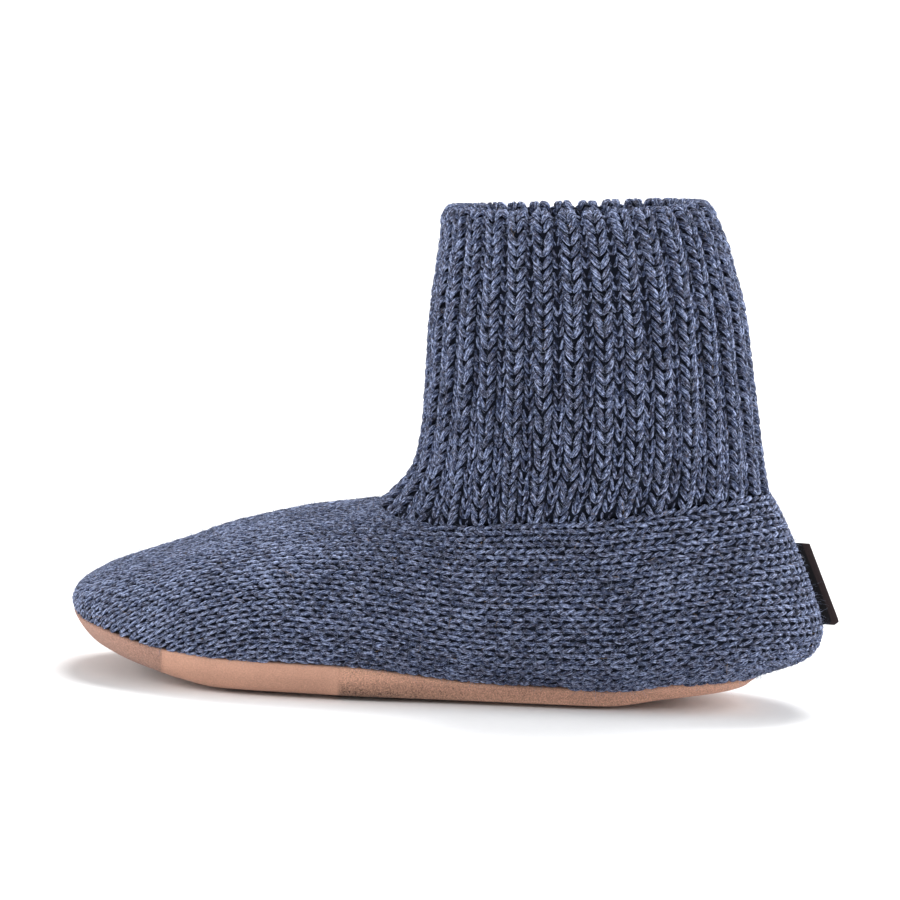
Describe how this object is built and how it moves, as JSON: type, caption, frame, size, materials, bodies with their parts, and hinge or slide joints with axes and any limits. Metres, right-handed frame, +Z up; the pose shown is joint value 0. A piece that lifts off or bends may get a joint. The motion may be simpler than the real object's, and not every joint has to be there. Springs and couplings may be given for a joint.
{
  "type": "slipper sock",
  "caption": "Ankle-high knitted slipper sock with a stocking-stitch foot, a ribbed shaft with a rolled rim, a wrapped suede sole and a small blank heel tab.",
  "frame": {"origin": "on the floor, at the middle of the flat spot under the heel", "axes": "+X towards the heel, toes towards -X, +Y towards the inner side of the foot, +Z up"},
  "size_m": [0.2776, 0.0976, 0.1794],
  "materials": {
    "knit": "heathered blue wool, knitted in stocking stitch with its columns running from heel to toe",
    "rib_knit": "the same heathered blue wool, knitted in upright ribs",
    "suede": "pinkish tan suede, napped, smoother along the ball of the foot",
    "felt": "soft grey felt",
    "woven_tab": "dark brown woven tape, folded, left bare"
  },
  "bodies": {
    "root": {"foot_upper": "knit", "ribbed_shaft": "rib_knit", "sole": "suede", "insole": "felt", "heel_tab": "woven_tab"}
  },
  "joints": []
}
